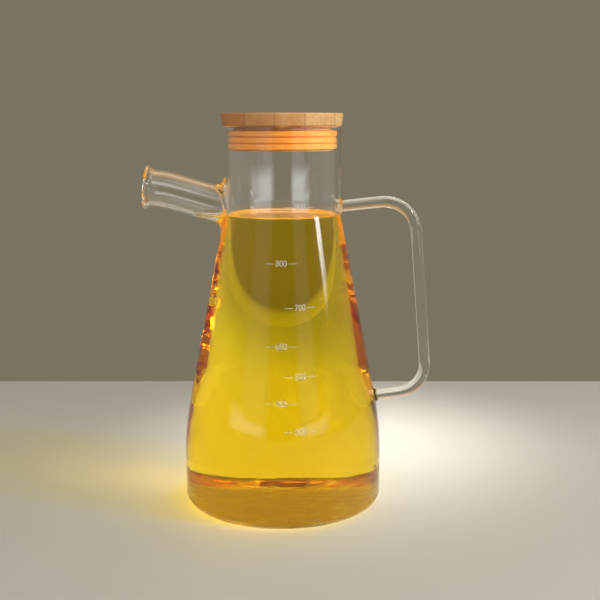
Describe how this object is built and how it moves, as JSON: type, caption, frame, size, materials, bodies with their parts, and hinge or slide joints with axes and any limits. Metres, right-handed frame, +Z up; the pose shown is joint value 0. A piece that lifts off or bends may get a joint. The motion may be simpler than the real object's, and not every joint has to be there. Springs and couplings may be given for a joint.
{
  "type": "oil dispenser",
  "caption": "Conical glass jug with a tube spout, a rod handle and a bamboo lid, filled with golden cooking oil.",
  "frame": {"origin": "centre of the jug's underside, on the axis of the body and neck", "axes": "+Z up along the jug's axis, spout towards -X, handle towards +X"},
  "size_m": [0.1523, 0.1056, 0.2068],
  "materials": {
    "clear_glass": "polished, clear and colourless",
    "golden_oil": "clear golden liquid",
    "bamboo": "sanded, laminated strips",
    "silicone": "translucent, smooth"
  },
  "bodies": {
    "root": {"glass_jug": "clear_glass", "oil": "golden_oil", "bamboo_lid": "bamboo", "silicone_ring": "silicone"}
  },
  "joints": []
}
